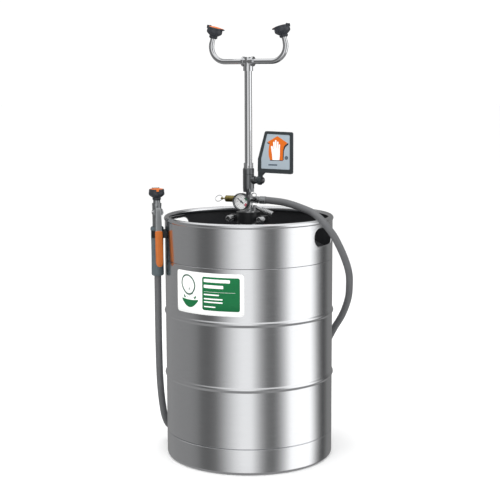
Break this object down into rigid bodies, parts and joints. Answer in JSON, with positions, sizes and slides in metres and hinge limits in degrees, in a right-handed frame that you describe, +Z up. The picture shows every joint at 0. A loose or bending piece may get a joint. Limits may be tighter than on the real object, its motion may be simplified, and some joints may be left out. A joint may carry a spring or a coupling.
{
  "type": "portable eyewash station",
  "caption": "Portable pressurised eyewash on a stainless tank: push-flag ball valve, raised twin spray yoke, gauge, relief valve and a hand-held drench hose.",
  "frame": {"origin": "centre of the tank's foot on the floor", "axes": "+Z up, front is -Y, +X is to the right seen from the front"},
  "size_m": [0.4944, 0.6894, 1.0522],
  "materials": {
    "tank_steel": "brushed stainless steel",
    "pipe_steel": "polished stainless steel",
    "spring_steel": "spring wire",
    "valve_metal": "dark plated metal",
    "coupling_black": "black enamel on iron",
    "handset_metal": "satin cast metal",
    "gauge_metal": "dark plated case",
    "gauge_dial": "white dial",
    "gauge_pointer": "black",
    "gauge_glass": "clear",
    "brass_metal": "turned brass",
    "slate_plastic": "moulded, matt",
    "screen_plastic": "moulded",
    "orange_plastic": "moulded, satin",
    "lever_orange": "steel, dip coated",
    "grip_plastic": "moulded, satin",
    "bracket_plastic": "moulded, matt",
    "flag_plastic": "moulded, satin",
    "panel_print": "printed plate",
    "hose_rubber": "smooth, matt",
    "seal_rubber": "matt",
    "seat_plastic": "white",
    "label_film": "printed film"
  },
  "bodies": {
    "tank": {"tank_shell": "tank_steel", "top_chime": "tank_steel", "bottom_chime": "tank_steel", "tank_neck": "pipe_steel", "tank_label": "label_film", "closure_cap": "pipe_steel", "closure_gasket": "seal_rubber", "coupling_front": "coupling_black", "coupling_rear": "coupling_black", "coupling_bolts": "pipe_steel", "dip_tube": "pipe_steel", "dip_strainer": "brass_metal", "air_valve": "pipe_steel", "manifold": "pipe_steel", "gauge_case": "gauge_metal", "gauge_face": "gauge_dial", "gauge_lens": "gauge_glass", "relief_body": "brass_metal", "relief_spring": "spring_steel", "hose_barb": "pipe_steel", "hose_ferrule": "pipe_steel", "drench_hose": "hose_rubber", "valve_nipple": "valve_metal", "valve_body": "valve_metal", "valve_end_cap": "valve_metal", "valve_seats": "seat_plastic", "valve_gland_nut": "valve_metal", "riser_nut": "pipe_steel", "riser_pipe": "pipe_steel", "yoke_tee": "pipe_steel", "left_arm": "pipe_steel", "right_arm": "pipe_steel", "left_head": "slate_plastic", "left_screen": "screen_plastic", "right_head": "slate_plastic", "right_screen": "screen_plastic", "cover_pins": "pipe_steel", "bracket": "bracket_plastic", "bracket_screws": "pipe_steel"},
    "flag": {"flag_handle": "flag_plastic", "flag_panel": "panel_print", "flag_nut": "valve_metal", "valve_stem": "pipe_steel", "valve_ball": "pipe_steel"},
    "left_flap": {"left_cover": "orange_plastic"},
    "right_flap": {"right_cover": "orange_plastic"},
    "handset": {"handset_head": "slate_plastic", "handset_screen": "screen_plastic", "handset_cover_pin": "pipe_steel", "handset_body": "handset_metal", "handset_spring": "spring_steel", "lever_pin": "pipe_steel", "handset_grip": "grip_plastic"},
    "handset_flap": {"handset_cover": "orange_plastic"},
    "lever": {"handset_lever": "lever_orange"},
    "plunger": {"handset_plunger": "brass_metal"},
    "relief_pull": {"relief_stem": "brass_metal", "relief_ring": "pipe_steel"},
    "needle": {"gauge_needle": "gauge_pointer"},
    "air_cap": {"air_valve_cap": "slate_plastic"}
  },
  "joints": [
    {"name": "flag_push", "type": "hinge", "parent": "tank", "child": "flag", "pos_m": [0.02719, -0.01268, 0.679], "axis": [-0.9063, 0.4226, 0], "range_deg": [0, 90]},
    {"name": "left_cover_flip", "type": "hinge", "parent": "tank", "child": "left_flap", "pos_m": [-0.09395, 0.04381, 1.05032], "axis": [-0.4226, -0.9063, 0], "range_deg": [0, 110]},
    {"name": "right_cover_flip", "type": "hinge", "parent": "tank", "child": "right_flap", "pos_m": [0.09395, -0.04381, 1.05032], "axis": [0.4226, 0.9063, 0], "range_deg": [0, 110]},
    {"name": "handset_lift", "type": "slide", "parent": "tank", "child": "handset", "axis": [0, 0, 1], "range_m": [0, 0.15]},
    {"name": "handset_cover_flip", "type": "hinge", "parent": "handset", "child": "handset_flap", "pos_m": [-0.22562, -0.01298, 0.6603], "axis": [-0.9781, -0.2079, 0], "range_deg": [0, 110]},
    {"name": "lever_squeeze", "type": "hinge", "parent": "handset", "child": "lever", "pos_m": [-0.21805, -0.04858, 0.606], "axis": [0.9781, 0.2079, 0], "range_deg": [0, 6], "stiffness_Nm_per_rad": 1.5, "springref_deg": -8.59},
    {"name": "plunger_press", "type": "slide", "parent": "handset", "child": "plunger", "axis": [-0.2079, 0.9781, 0], "range_m": [0, 0.0021], "deforming": ["handset_spring"]},
    {"name": "relief_ring_pull", "type": "slide", "parent": "tank", "child": "relief_pull", "axis": [-0.9063, 0.4226, 0], "range_m": [0, 0.004], "stiffness_N_per_m": 400, "springref_m": -0.004, "deforming": ["relief_spring"]},
    {"name": "gauge_reading", "type": "hinge", "parent": "tank", "child": "needle", "pos_m": [-0.01606, -0.03444, 0.63], "axis": [-0.4226, -0.9063, 0], "range_deg": [-187, 83], "stiffness_Nm_per_rad": 0.002},
    {"name": "air_cap_off", "type": "slide", "parent": "tank", "child": "air_cap", "axis": [0.8619, -0.4019, -0.309], "range_m": [0, 0.03]}
  ],
  "couplings": [
    {"joint": "plunger_press", "follows": "lever_squeeze", "m_per_rad": 0.0191}
  ]
}
